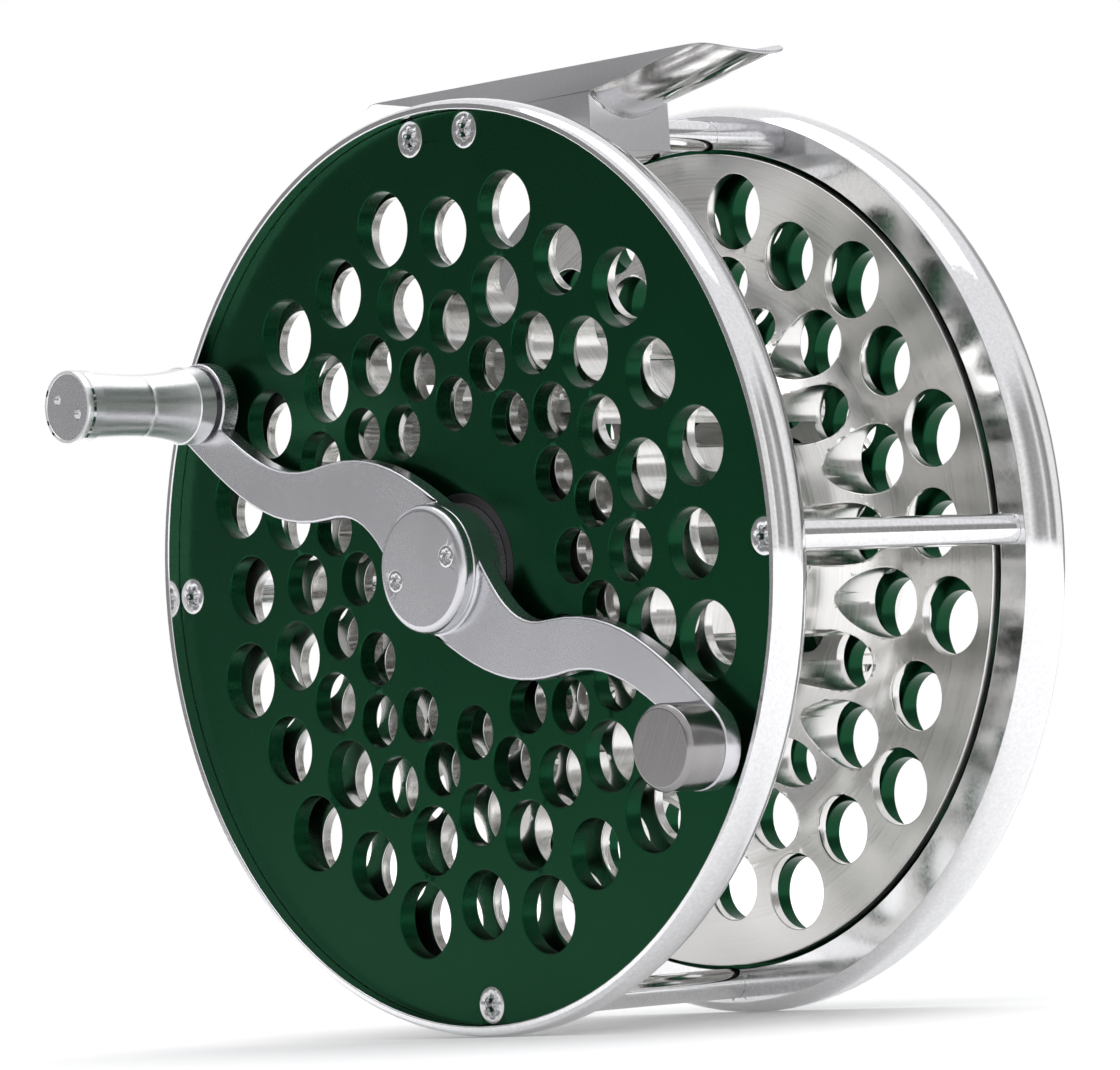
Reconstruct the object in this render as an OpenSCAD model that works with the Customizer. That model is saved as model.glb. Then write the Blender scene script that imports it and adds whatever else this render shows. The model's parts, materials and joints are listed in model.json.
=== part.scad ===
// Large-arbor salmon fly reel: an open caged frame of two drilled plates in polished
// rings, a drilled one-piece spool with a windowed arbor, an S-shaped crank with a
// counterweight, a reel foot on two pillars, and a disc drag with a click at the back.
// The origin is the middle of the reel foot's saddle. +Z is up out of the saddle,
// X runs along the rod, and the crank is on the -Y side. All sizes are millimetres.

/* [Frame] */
// Width over the outer faces of the two plates
frame_w = 40.2; // [34:0.1:50]
// Radius of the two drilled plates
plate_r = 50; // [48:0.1:64]
// Thickness of a plate
plate_t = 2.2; // [1.6:0.1:3]
// Height of the ring's lip over the plate's outer face
lip_proud = 1.6; // [0.8:0.1:3]
// Width of the flat on top of the ring's lip
lip_w = 0.9; // [0.6:0.1:2]
// Thickness of the ring's shoulder that the plate rests on
shoulder_t = 1.6; // [1:0.1:2.5]
// How far the shoulder reaches in under the plate
shoulder_w = 3.7; // [2.9:0.1:4.5]
// How far the ring's outer wall bulges past the lip
ring_bulge = 0.5; // [0.1:0.1:1.5]
// Radius of a frame pillar
pillar_r = 1.7; // [1.4:0.01:2.1]
// Distance of the pillar axes inside the edge of the plate
pillar_inset = 2.2; // [2:0.1:4]
// Angle between each top pillar and the vertical
top_pillar_angle = 5.47; // [4.5:0.1:9]

/* [Hole pattern] */
// Number of holes in every row of the pattern
holes_per_row = 12; // [8:1:12]
// Hole radius of the outermost row
row_a_hole = 4.25; // [3:0.05:4.5]
// Distance of the outermost row inside the edge of the plate
row_a_inset = 10.44; // [9.5:0.05:13]
// Hole radius of the second and third rows
row_bc_hole = 3.85; // [2.8:0.05:4]
// Distance between the first and second rows
row_ab_step = 2.67; // [2:0.05:4]
// Distance between the second and third rows
row_bc_step = 6.27; // [6:0.05:9]
// Hole radius of the fourth row, which makes the windows in the arbor
row_d_hole = 3.4; // [2.5:0.05:3.6]
// Distance of the fourth row outside the arbor's surface
row_d_offset = 1.04; // [0.6:0.02:1.6]
// Hole radius of the two innermost rows
row_ef_hole = 3.0; // [2:0.05:3.2]
// Pitch radius of the fifth row
row_e_r = 22.51; // [21:0.05:23]
// Pitch radius of the innermost row
row_f_r = 18.03; // [17.6:0.05:18.6]

/* [Spool] */
// Gap between the spool and the inner face of each plate
spool_side_gap = 1.1; // [0.6:0.1:2]
// Gap between the edge of the spool and the bore of the rings
spool_rim_gap = 0.5; // [0.3:0.1:1]
// Thickness of a spool flange
flange_t = 1.2; // [0.9:0.1:2]
// Radius of the arbor that the line is wound on
arbor_r = 26; // [24:0.1:28]
// Wall thickness of the arbor
arbor_wall = 2; // [1.6:0.1:3]
// Radius of the cove between arbor and flange
cove_r = 8.5; // [5:0.1:9]
// Radius of the spool's hub
hub_r = 13.8; // [13:0.1:14.5]
// How far the hole pattern of the spool is turned at rest
spool_turn = 2.3; // [0:0.1:29]

/* [Bearings] */
// Radius of the spindle, and of the bearing's bore
spindle_r = 4; // [3.3:0.01:4.4]
// Outer radius of a bearing
bearing_r = 8; // [7.8:0.1:8.4]
// Width of a bearing
bearing_w = 5; // [4:0.1:5.2]
// Number of balls in a bearing
ball_count = 10; // [7:1:11]
// Outer radius of the boss or sleeve that holds a bearing
boss_r = 10; // [9.6:0.1:10.4]

/* [Crank] */
// Distance of the handle and of the counterweight from the spool's axis
crank_reach = 45; // [37.5:0.5:46]
// Angle of the handle at rest, from the +X side up
crank_angle = 151.8; // [0:0.1:360]
// Thickness of the crank arm
arm_t = 2.3; // [1.8:0.1:3.5]
// Gap between the crank arm and the lip of the ring
arm_gap = 0.2; // [0.2:0.1:2]
// Width of the crank arm beside the hub
arm_mid_w = 6.2; // [5:0.1:8]
// Width of the crank arm near its ends
arm_tip_w = 4.8; // [4:0.1:6]
// Radius of the round ends of the crank arm
arm_end_r = 4.8; // [4.4:0.1:5]
// Radius of the hub of the crank and of its cap
hub_cap_r = 7.05; // [6.6:0.05:7.4]
// Thickness of the hub cap
hub_cap_t = 1.5; // [1.2:0.1:3]
// Radius of the rounded edge of the hub cap
hub_cap_round = 0.8; // [0.3:0.1:1.1]
// Radius of the counterweight
weight_r = 4.65; // [3.5:0.05:4.7]
// Length of the counterweight
weight_h = 5; // [3.5:0.1:12]
// Length of the handle knob
handle_h = 18; // [15:0.5:28]
// Radius of the handle knob at its foot
handle_foot_r = 4.4; // [3.9:0.1:4.8]
// Radius of the handle knob at its waist
handle_waist_r = 3.6; // [3.5:0.1:4.4]

/* [Reel foot] */
// Length of the reel foot
foot_l = 64; // [53:0.1:77]
// Width of the reel foot
foot_w = 11.8; // [9:0.1:14]
// Height of the saddle's middle over the pillars' axes
foot_h = 5.8; // [4.9:0.1:9]
// Radius of the saddle's hollow, which fits the reel seat
saddle_r = 14; // [11:0.5:20]
// Radius of the rounded underside of each wing
wing_r = 8.3; // [7:0.1:12]
// Thickness of a wing at its tip
wing_tip_t = 0.4; // [0.3:0.05:1]
// Slope of the wings' underside
wing_slope = 10; // [6:0.5:12]
// Length of the block that sits on the pillars
block_l = 19; // [17:0.5:26]
// Depth of the block under the pillars' axes
block_below = 2.45; // [2.3:0.05:4]
// Radius of the cove between block and wing
wing_cove_r = 2.6; // [1:0.1:3]

/* [Drag] */
// Radius of the drag knob
knob_r = 19; // [18:0.1:24]
// Depth of the drag knob
knob_h = 9; // [8.6:0.1:12]
// Gap between the drag knob and the back plate
knob_gap = 0.9; // [0.4:0.1:2]
// Number of flutes round the drag knob
knob_flutes = 48; // [24:4:60]
// Outer radius of the drag housing
housing_r = 16; // [15.6:0.1:16.4]
// Wall thickness of the drag housing
housing_wall = 1.2; // [0.9:0.1:1.3]
// Thickness of the floor of the drag housing
housing_floor = 1.6; // [1.2:0.1:2]
// Radius over the teeth of the drag rotor
rotor_r = 12.2; // [11.8:0.1:12.3]
// Thickness of the drag rotor
rotor_t = 1.4; // [1:0.1:1.8]
// Number of click teeth, a multiple of 12
click_teeth = 72; // [60:12:72]
// Travel of the pressure plate from free to full drag
drag_travel = 0.3; // [0.1:0.05:0.3]

/* [Fits] */
// Radial clearance of a turning fit
run_fit = 0.05; // [0.02:0.01:0.1]
// Radial clearance of a fixed fit
seat_fit = 0.02; // [0:0.01:0.05]

/* [Hidden] */

$fn = 96;
eps = 0.01;

// Levels along the spool's axis, counted from the middle of the reel towards the crank.
face_z = frame_w / 2;
plate_back_z = face_z - plate_t;
lip_z = face_z + lip_proud;
shoulder_z = plate_back_z - shoulder_t;
flange_z = plate_back_z - spool_side_gap;
line_z = flange_z - flange_t;
cove_z = line_z - cove_r;
arm_back_z = lip_z + arm_gap;
arm_front_z = arm_back_z + arm_t;

// Radii of the frame.
ring_bore_r = plate_r - shoulder_w;
ring_r = plate_r + lip_w;
pillar_pitch_r = plate_r - pillar_inset;
top_pillar_z = pillar_pitch_r * cos(top_pillar_angle);
top_pillar_x = pillar_pitch_r * sin(top_pillar_angle);
axis_drop = top_pillar_z + foot_h;
flange_r = ring_bore_r - spool_rim_gap;
pillar_angles = [90 + top_pillar_angle, 90 - top_pillar_angle, 180, 0, 270];

// Rim of the cove that is let into the flange.
cove_rim_r = arbor_r + cove_r + 0.4;
cove_rim_t = flange_t / 4;

// Rows of the hole pattern: pitch radius, hole radius, whether it is half a step round.
row_a_r = plate_r - row_a_inset;
row_b_r = row_a_r - row_ab_step;
row_c_r = row_b_r - row_bc_step;
rows = [
    [row_a_r, row_a_hole, 0.5],
    [row_b_r, row_bc_hole, 0],
    [row_c_r, row_bc_hole, 0.5],
    [arbor_r + row_d_offset, row_d_hole, 0],
    [row_e_r, row_ef_hole, 0.5],
    [row_f_r, row_ef_hole, 0]
];

// Countersunk frame screws.
screw_head_r = 2.05;
screw_r = 1.1;
screw_l = 9;

// Grub screws of the foot.
foot_screw_r = 1.25;

// Bearing seats.
seal_t = 0.9;
seal_r = bearing_r + 0.15;
spigot_r = boss_r - 0.9;
spigot_h = plate_t / 2;
seat_lip_t = 0.7;
seat_lip_r = bearing_r - 1;
bearing_z = face_z - seal_t - bearing_w;
boss_z = bearing_z - seat_lip_t;
recess_r = boss_r + 1;
recess_z = boss_z - 1;
ball_pitch_r = (spindle_r + bearing_r) / 2;
race_t = 1.2;
groove_depth = 0.15;
ball_r = (bearing_r - spindle_r) / 2 - race_t + groove_depth;
groove_r = ball_r + run_fit;

// Spindle and key.
spindle_back_z = -face_z - 6.9;
square_w = 5.4;
key_w = 2;
key_l = 14;

// Crank.
handle_post_r = 1.9;
post_collar_r = 3;
post_collar_h = 0.4;
post_foot_r = 2.5;
bush_r = 3;
bush_h = 4;
handle_gap = 0.1;
handle_z = arm_front_z + post_collar_h + handle_gap;
cap_inset = 2;
cap_wall = 1;
handle_waist_z = 10 * handle_h / 18;
handle_curve_r = (pow(handle_waist_z, 2) + pow(handle_foot_r - handle_waist_r, 2))
    / (2 * (handle_foot_r - handle_waist_r));
handle_end_r = handle_waist_r + handle_curve_r
    - sqrt(pow(handle_curve_r, 2) - pow(handle_h - handle_waist_z, 2));
crank_boss_h = 0.65;
cap_screw_r = 1.2;
cap_screw_shank_r = 0.6;
cap_screw_pitch = 4.45;
// Turn of the cap's screws and of the square drive between them, from the crank's reach.
cap_screw_turn = 42;
weight_chamfer = 0.5;

// Drag parts, counted outward from the outer face of the back plate.
housing_inner_r = housing_r - housing_wall;
housing_top = housing_floor + 6.4;
pad_t = 0.8;
pad_r = rotor_r - 1.4;
pad_bore_r = 6.5;
rotor_d = housing_floor + 0.1 + pad_t + 0.1;
pad_outer_d = rotor_d + rotor_t + drag_travel + 0.05;
press_d = pad_outer_d + pad_t;
press_t = 1.2;
press_bore_r = 5.4;
spring_h = 0.9;
rib_w = 2;
rib_h = 1.2;
tooth_h = 0.55;
knob_floor = 1.6;
clip_t = 0.8;
clip_d = housing_top - 1.9;
clip_r = housing_r + 0.45;
nut_w = 7;

// Click pawl.
pawl_pin_r = 0.5;
pawl_pin_x = -3.6;
pawl_pin_y = 13.2;
pawl_end_r = 0.95;
pawl_t = 1.1;

// Outer end of the click spring, just inside the housing's wall.
spring_x = 5.2;
spring_y = sqrt(pow(housing_inner_r - seat_fit, 2) - pow(spring_x, 2));

// ---- Helpers --------------------------------------------------------------------

// Puts children on the spool's axis: local z points to the crank side, local y up.
module on_axis() {
    translate([0, 0, -axis_drop])
        rotate([90, 0, 0])
            children();
}

// Puts children behind the back plate: local z grows away from the plate.
module behind_plate() {
    on_axis()
        translate([0, 0, -face_z])
            mirror([0, 0, 1])
                children();
}

// Turns children with the crank: local x points to the handle.
module with_crank() {
    on_axis()
        rotate([0, 0, crank_angle])
            children();
}

// Copies children to each pillar.
module at_pillars() {
    for (a = pillar_angles)
        rotate([0, 0, a])
            translate([pillar_pitch_r, 0, 0])
                children();
}

// A tube from z1 to z2.
module tube(outer, inner, z1, z2) {
    translate([0, 0, z1])
        difference() {
            cylinder(r = outer, h = z2 - z1);
            translate([0, 0, -1])
                cylinder(r = inner, h = z2 - z1 + 2);
        }
}

// A disc from z1 to z2.
module disc(r, z1, z2) {
    translate([0, 0, z1])
        cylinder(r = r, h = z2 - z1);
}

// A disc with a chamfer on its far edge.
module chamfered_disc(r, z1, z2, chamfer) {
    disc(r, z1, z2 - chamfer);
    translate([0, 0, z2 - chamfer])
        cylinder(r1 = r, r2 = r - chamfer, h = chamfer);
}

// All the drilled holes of the pattern, cut from -depth to +depth.
module hole_pattern(depth) {
    step = 360 / holes_per_row;
    for (row = rows)
        for (i = [0 : holes_per_row - 1])
            rotate([0, 0, (i + row[2]) * step])
                translate([row[0], 0, -depth])
                    cylinder(r = row[1], h = 2 * depth);
}

// Six-lobed driver socket, cut down from z = 0.
module star_socket(r, depth) {
    translate([0, 0, -depth])
        linear_extrude(height = depth + 1)
            union() {
                circle(r = 0.72 * r, $fn = 24);
                for (a = [0 : 60 : 300])
                    rotate(a)
                        translate([0.75 * r, 0])
                            circle(r = 0.25 * r, $fn = 16);
            }
}

// Countersunk screw with its head's face at z = 0, pointing down.
module countersunk_screw(head_r, shank_r, length) {
    head_h = head_r - shank_r;
    difference() {
        union() {
            translate([0, 0, -head_h])
                cylinder(r1 = shank_r, r2 = head_r, h = head_h);
            disc(shank_r, -length, -head_h + eps);
        }
        star_socket(0.62 * head_r, 0.45 * head_r);
    }
}

// The hole that the countersunk screw sits in.
module countersink(head_r, shank_r, length) {
    head_h = head_r - shank_r;
    translate([0, 0, -head_h])
        cylinder(r1 = shank_r + seat_fit, r2 = head_r + seat_fit, h = head_h);
    disc(head_r + seat_fit, 0, 1);
    disc(shank_r + seat_fit, -length - eps, 0);
}

// ---- Frame ----------------------------------------------------------------------

// Profile of a ring in radius and height: seat for the plate, shoulder, bulged outside.
module ring_profile() {
    arc_steps = 10;
    bulge = [
        for (i = [0 : arc_steps])
            let (t = i / arc_steps)
            [ring_r - 0.7 * t * t + ring_bulge * 4 * t * (1 - t),
             lip_z - 0.25 - t * (lip_z - 0.25 - shoulder_z - 0.15)]
    ];
    polygon(concat(
        [[ring_bore_r, shoulder_z],
         [ring_bore_r, plate_back_z],
         [plate_r, plate_back_z],
         [plate_r, lip_z - 0.1],
         [plate_r + 0.1, lip_z],
         [ring_r - 0.25, lip_z]],
        bulge,
        [[ring_r - 0.85, shoulder_z]]
    ));
}

module ring() {
    difference() {
        rotate_extrude($fn = 180)
            ring_profile();
        at_pillars()
            disc(screw_r + seat_fit, shoulder_z - 1, plate_back_z + 1);
    }
}

module front_ring() {
    color("gainsboro")
        on_axis()
            ring();
}

module rear_ring() {
    color("gainsboro")
        on_axis()
            mirror([0, 0, 1])
                ring();
}

// Plate blank with the countersunk screw holes, its outer face at face_z.
module plate_blank() {
    difference() {
        disc(plate_r - seat_fit, plate_back_z, face_z);
        at_pillars()
            translate([0, 0, face_z])
                countersink(screw_head_r, screw_r, plate_t);
    }
}

module front_plate() {
    color("darkgreen")
        on_axis()
            difference() {
                plate_blank();
                hole_pattern(face_z + 5);
                disc(bearing_r + seat_fit, plate_back_z - 1, face_z + 1);
                disc(spigot_r + seat_fit, plate_back_z - 1, plate_back_z + spigot_h);
                disc(seal_r + seat_fit, face_z - seal_t, face_z + 1);
            }
}

module back_plate() {
    color("darkgreen")
        on_axis()
            mirror([0, 0, 1])
                difference() {
                    plate_blank();
                    hole_pattern(face_z + 5);
                    disc(boss_r + seat_fit, 0, face_z + 1);
                    at_housing_screws()
                        disc(0.8, plate_back_z - 1, face_z + 1);
                }
}

// One pillar, drilled at both ends for its screws.
module pillar(angle) {
    color("gainsboro")
        on_axis()
            rotate([0, 0, angle])
                translate([pillar_pitch_r, 0, 0])
                    difference() {
                        disc(pillar_r, -shoulder_z, shoulder_z);
                        disc(screw_r + seat_fit, face_z - screw_l - 1, face_z);
                        disc(screw_r + seat_fit, -face_z, screw_l + 1 - face_z);
                    }
}

module pillar_top_left() { pillar(pillar_angles[0]); }
module pillar_top_right() { pillar(pillar_angles[1]); }
module pillar_left() { pillar(pillar_angles[2]); }
module pillar_right() { pillar(pillar_angles[3]); }
module pillar_bottom() { pillar(pillar_angles[4]); }

module plate_screws() {
    at_pillars()
        translate([0, 0, face_z])
            countersunk_screw(screw_head_r, screw_r, screw_l);
}

module front_plate_screws() {
    color("silver")
        on_axis()
            plate_screws();
}

module back_plate_screws() {
    color("silver")
        on_axis()
            mirror([0, 0, 1])
                plate_screws();
}

// ---- Reel foot ------------------------------------------------------------------

// Body of revolution under one wing: a round bar that flares into the block.
module wing_bar() {
    past_tip = 4;
    bar_l = (foot_l - block_l) / 2 / cos(wing_slope) + wing_cove_r / 2;
    cove_z = bar_l - wing_cove_r;
    // The bar's lowest line passes just under the tip of the wing.
    translate([foot_l / 2, 0, -wing_tip_t])
        rotate([0, -wing_slope, 0])
            translate([0, 0, wing_r])
                rotate([0, -90, 0])
                    difference() {
                        disc(wing_r + wing_cove_r, -past_tip, bar_l);
                        tube(wing_r + wing_cove_r + 1, wing_r, -past_tip - 1, cove_z);
                        rotate_extrude()
                            translate([wing_r + wing_cove_r, cove_z])
                                circle(r = wing_cove_r);
                    }
}

// Outline of the foot from above, with round ends.
module foot_plan() {
    end_x = foot_l / 2 - foot_w / 2;
    translate([-end_x, -foot_w / 2])
        square([2 * end_x, foot_w]);
    for (side = [-1, 1])
        translate([side * end_x, 0])
            circle(r = foot_w / 2);
}

module reel_foot() {
    block_bottom = -foot_h - block_below;
    saddle_rise = saddle_r - sqrt(pow(saddle_r, 2) - pow(foot_w / 2, 2));
    color("darkgray")
        difference() {
            union() {
                translate([-block_l / 2, -foot_w / 2, block_bottom])
                    cube([block_l, foot_w, saddle_rise - block_bottom]);
                for (side = [0, 1])
                    mirror([side, 0, 0])
                        intersection() {
                            wing_bar();
                            translate([0, 0, block_bottom])
                                linear_extrude(height = saddle_rise - block_bottom)
                                    foot_plan();
                        }
            }
            // The saddle's hollow.
            translate([-foot_l, 0, saddle_r])
                rotate([0, 90, 0])
                    cylinder(r = saddle_r, h = 2 * foot_l);
            // The pillars pass through the block.
            for (side = [-1, 1])
                translate([side * top_pillar_x, foot_w, -foot_h])
                    rotate([90, 0, 0])
                        cylinder(r = pillar_r + seat_fit, h = 2 * foot_w);
            // Threaded holes for the grub screws that grip the pillars.
            at_foot_screws()
                disc(foot_screw_r + seat_fit, -foot_h, 2);
        }
}

module at_foot_screws() {
    for (side = [-1, 1])
        translate([side * top_pillar_x, 0, 0])
            children();
}

module foot_screws() {
    color("silver")
        at_foot_screws()
            difference() {
                disc(foot_screw_r, pillar_r - foot_h, -0.6);
                translate([0, 0, -1.9])
                    cylinder(r = 0.72, h = 2, $fn = 6);
            }
}

// ---- Bearings -------------------------------------------------------------------

module front_seal_ring() {
    color("black")
        on_axis()
            tube(seal_r, hub_cap_r + run_fit, face_z - seal_t, face_z);
}

// Cup for the front bearing, let into the back of the front plate by its spigot.
module front_bearing_housing() {
    color("silver")
        on_axis()
            difference() {
                union() {
                    disc(boss_r, boss_z, plate_back_z);
                    disc(spigot_r, plate_back_z - eps, plate_back_z + spigot_h);
                }
                disc(seat_lip_r, boss_z - 1, face_z);
                disc(bearing_r + seat_fit, bearing_z, face_z);
            }
}

// Groove that the balls run in.
module ball_groove() {
    translate([0, 0, bearing_w / 2])
        rotate_extrude()
            translate([ball_pitch_r, 0])
                circle(r = groove_r);
}

module bearing_outer_race() {
    difference() {
        tube(bearing_r, bearing_r - race_t, 0, bearing_w);
        ball_groove();
    }
}

module bearing_inner_race() {
    difference() {
        tube(spindle_r + race_t, spindle_r + seat_fit, 0, bearing_w);
        ball_groove();
    }
}

// Balls held by a cage.
module bearing_balls() {
    for (i = [0 : ball_count - 1])
        rotate([0, 0, i * 360 / ball_count])
            translate([ball_pitch_r, 0, bearing_w / 2])
                sphere(r = ball_r, $fn = 32);
    tube(ball_pitch_r + 0.35, ball_pitch_r - 0.35, bearing_w / 2 - 0.6, bearing_w / 2 + 0.6);
}

module at_front_bearing() {
    on_axis()
        translate([0, 0, bearing_z])
            children();
}

module at_rear_bearing() {
    on_axis()
        mirror([0, 0, 1])
            translate([0, 0, bearing_z])
                children();
}

module front_bearing_outer_race() { color("silver") at_front_bearing() bearing_outer_race(); }
module front_bearing_inner_race() { color("silver") at_front_bearing() bearing_inner_race(); }
module front_bearing_balls() { color("goldenrod") at_front_bearing() bearing_balls(); }
module rear_bearing_outer_race() { color("silver") at_rear_bearing() bearing_outer_race(); }
module rear_bearing_inner_race() { color("silver") at_rear_bearing() bearing_inner_race(); }
module rear_bearing_balls() { color("goldenrod") at_rear_bearing() bearing_balls(); }

// ---- Spool ----------------------------------------------------------------------

// Puts children on the axis and turns them with the spool.
module with_spool() {
    on_axis()
        rotate([0, 0, spool_turn])
            children();
}

// Middle of the arbor, where the fourth row of holes leaves a bar between each two windows.
module spool() {
    color("lightgray")
        with_spool()
            difference() {
                tube(arbor_r, arbor_r - arbor_wall, -cove_z, cove_z);
                hole_pattern(cove_z + 1);
            }
}

// Drilled flange, grooved on its inner side for the rim of the cove.
module spool_flange() {
    difference() {
        disc(flange_r, line_z, flange_z);
        tube(cove_rim_r + seat_fit, arbor_r - arbor_wall - seat_fit, line_z - 1, line_z + cove_rim_t);
        disc(recess_r, line_z - 1, flange_z + 1);
        hole_pattern(flange_z + 1);
    }
}

// Round cove that carries the arbor out to the flange, with the line's side hollowed.
module spool_cove() {
    difference() {
        tube(cove_rim_r, arbor_r - arbor_wall, cove_z, line_z + cove_rim_t);
        rotate_extrude()
            difference() {
                translate([arbor_r, cove_z - 1])
                    square([plate_r, line_z - cove_z + 1]);
                difference() {
                    translate([arbor_r - 1, cove_z])
                        square([cove_r + 1, cove_r + 1]);
                    translate([arbor_r + cove_r, cove_z])
                        circle(r = cove_r);
                }
            }
        hole_pattern(flange_z + 1);
    }
}

module spool_front_flange() {
    color("lightgray")
        with_spool()
            spool_flange();
}

module spool_rear_flange() {
    color("lightgray")
        with_spool()
            mirror([0, 0, 1])
                spool_flange();
}

module spool_front_cove() {
    color("lightgray")
        with_spool()
            spool_cove();
}

module spool_rear_cove() {
    color("lightgray")
        with_spool()
            mirror([0, 0, 1])
                spool_cove();
}

// Hub between the flanges, with recesses for the bearing housings and a keyed bore.
module spool_hub() {
    color("lightgray")
        with_spool()
            difference() {
                disc(hub_r, -line_z, line_z);
                disc(recess_r, recess_z, line_z + 1);
                disc(recess_r, -line_z - 1, -recess_z);
                disc(spindle_r + seat_fit, -line_z, line_z);
                translate([-key_w / 2, 0, -key_l / 2])
                    cube([key_w, spindle_r + key_w / 2, key_l]);
            }
}

module spindle() {
    color("silver")
        with_spool()
            difference() {
                union() {
                    disc(spindle_r, spindle_back_z + 2.2, face_z - seal_t);
                    disc(spindle_r - 1, spindle_back_z, spindle_back_z + 3);
                    rotate([0, 0, crank_angle + cap_screw_turn - spool_turn])
                        translate([-square_w / 2, -square_w / 2, face_z - seal_t - eps])
                            cube([square_w, square_w, arm_front_z + crank_boss_h - face_z + seal_t]);
                }
                translate([-key_w / 2, spindle_r - key_w / 2, -key_l / 2])
                    cube([key_w, key_w, key_l]);
                // Flat that drives the drag rotor.
                translate([-spindle_r, 0.8 * spindle_r, -face_z - rotor_d - rotor_t - 1.1])
                    cube([2 * spindle_r, spindle_r, rotor_t + 2.1]);
            }
}

module spool_key() {
    color("silver")
        with_spool()
            translate([-key_w / 2, spindle_r - key_w / 2, -key_l / 2])
                cube([key_w, key_w, key_l]);
}

// ---- Crank ----------------------------------------------------------------------

// Point at t on a cubic Bezier curve.
function bezier(p, t) =
    pow(1 - t, 3) * p[0] + 3 * pow(1 - t, 2) * t * p[1]
    + 3 * (1 - t) * t * t * p[2] + pow(t, 3) * p[3];

// Direction at t on a cubic Bezier curve.
function bezier_dir(p, t) =
    let (v = pow(1 - t, 2) * (p[1] - p[0]) + 2 * (1 - t) * t * (p[2] - p[1]) + t * t * (p[3] - p[2]))
    v / norm(v);

// Middle line of one half of the S, with local x along the reach: out of the hub, then
// over the bend, to end beside the axis of the round end, whose far side it touches.
bend = crank_reach / 45;
tip_angle = -10.8;
tip_normal = [-sin(tip_angle), cos(tip_angle)];
tip_offset = arm_end_r - arm_tip_w / 2;
end_point = [crank_reach, 0] + tip_offset * tip_normal;
middle_point = [20.6, 0.05] * bend;
inner_curve = [[0, 0], [9.5, -3.6], middle_point - [5.8, 4.2], middle_point];
outer_curve = [
    middle_point, middle_point + [7.6, 5.6],
    end_point - 10 * [cos(tip_angle), sin(tip_angle)], end_point
];
curve_steps = 12;
end_steps = 24;

// Stations along one half: point, direction and half width.
stations = concat(
    [for (i = [0 : curve_steps - 1])
        let (t = i / curve_steps)
        [bezier(inner_curve, t), bezier_dir(inner_curve, t),
         arm_mid_w / 2 + (hub_cap_r - 0.4 - arm_mid_w / 2) * pow(1 - t, 2)]],
    [for (i = [0 : curve_steps])
        let (t = i / curve_steps)
        [bezier(outer_curve, t), bezier_dir(outer_curve, t),
         arm_mid_w / 2 + (arm_tip_w - arm_mid_w) / 2 * t * (2 - t)]]
);

// Point on the edge beside a station, to its left (side = 1) or right (side = -1).
function beside(s, side) = s[0] + side * s[2] * [-s[1][1], s[1][0]];

// Outline of one half: out along one edge, round the end, and back.
last_station = len(stations) - 1;
half_outline = concat(
    [for (i = [0 : last_station - 1]) beside(stations[i], 1)],
    [for (i = [0 : end_steps])
        let (a = 90 + tip_angle - 270 * i / end_steps)
        [crank_reach + arm_end_r * cos(a), arm_end_r * sin(a)]],
    [for (i = [last_station : -1 : 1])
        if (norm(beside(stations[i], -1) - [crank_reach, 0]) > arm_end_r + 0.3)
            beside(stations[i], -1)]
);

module arm_blade() {
    translate([0, 0, arm_back_z])
        linear_extrude(height = arm_t)
            polygon(concat(half_outline, -half_outline));
}

module crank_arm() {
    color("silver")
        with_crank()
            difference() {
                union() {
                    arm_blade();
                    disc(hub_cap_r, arm_back_z - 2.2, arm_front_z + crank_boss_h);
                    disc(spindle_r + 1, face_z - seal_t, arm_back_z);
                }
                // Square drive, with the hub cap's screw holes beside it.
                rotate([0, 0, cap_screw_turn])
                    translate([-square_w / 2 - seat_fit, -square_w / 2 - seat_fit, face_z - 2])
                        cube([square_w + 2 * seat_fit, square_w + 2 * seat_fit, 20]);
                at_cap_screws()
                    disc(cap_screw_shank_r + seat_fit, arm_front_z - 1.5, arm_front_z + 5);
                translate([crank_reach, 0, 0])
                    disc(post_foot_r + seat_fit, arm_back_z - 1, arm_front_z + 1);
                translate([-crank_reach, 0, arm_back_z])
                    mirror([0, 0, 1])
                        countersink(screw_head_r, screw_r, arm_t);
            }
}

module at_cap_screws() {
    for (a = [0, 180])
        rotate([0, 0, cap_screw_turn + a])
            translate([cap_screw_pitch, 0, 0])
                children();
}

module hub_cap() {
    z1 = arm_front_z + crank_boss_h;
    z2 = z1 + hub_cap_t;
    color("silver")
        with_crank()
            difference() {
                translate([0, 0, z2])
                    rotate_extrude()
                        difference() {
                            translate([0, -hub_cap_t])
                                square([hub_cap_r, hub_cap_t]);
                            difference() {
                                translate([hub_cap_r - hub_cap_round, -hub_cap_round])
                                    square(hub_cap_round + 1);
                                translate([hub_cap_r - hub_cap_round, -hub_cap_round])
                                    circle(r = hub_cap_round);
                            }
                        }
                at_cap_screws()
                    translate([0, 0, z2])
                        countersink(cap_screw_r, cap_screw_shank_r, hub_cap_t);
            }
}

module hub_cap_screws() {
    color("silver")
        with_crank()
            at_cap_screws()
                translate([0, 0, arm_front_z + crank_boss_h + hub_cap_t])
                    countersunk_screw(cap_screw_r, cap_screw_shank_r, hub_cap_t + 2);
}

module counterweight() {
    color("lightgray")
        with_crank()
            translate([-crank_reach, 0, arm_front_z])
                difference() {
                    chamfered_disc(weight_r, 0, weight_h, weight_chamfer);
                    disc(screw_r + seat_fit, -1, weight_h - 1.2);
                }
}

module counterweight_screw() {
    color("silver")
        with_crank()
            translate([-crank_reach, 0, arm_back_z])
                mirror([0, 0, 1])
                    countersunk_screw(screw_head_r, screw_r, arm_t + weight_h - 1.5);
}

// ---- Handle ---------------------------------------------------------------------

module at_handle() {
    with_crank()
        translate([crank_reach, 0, 0])
            children();
}

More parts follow.
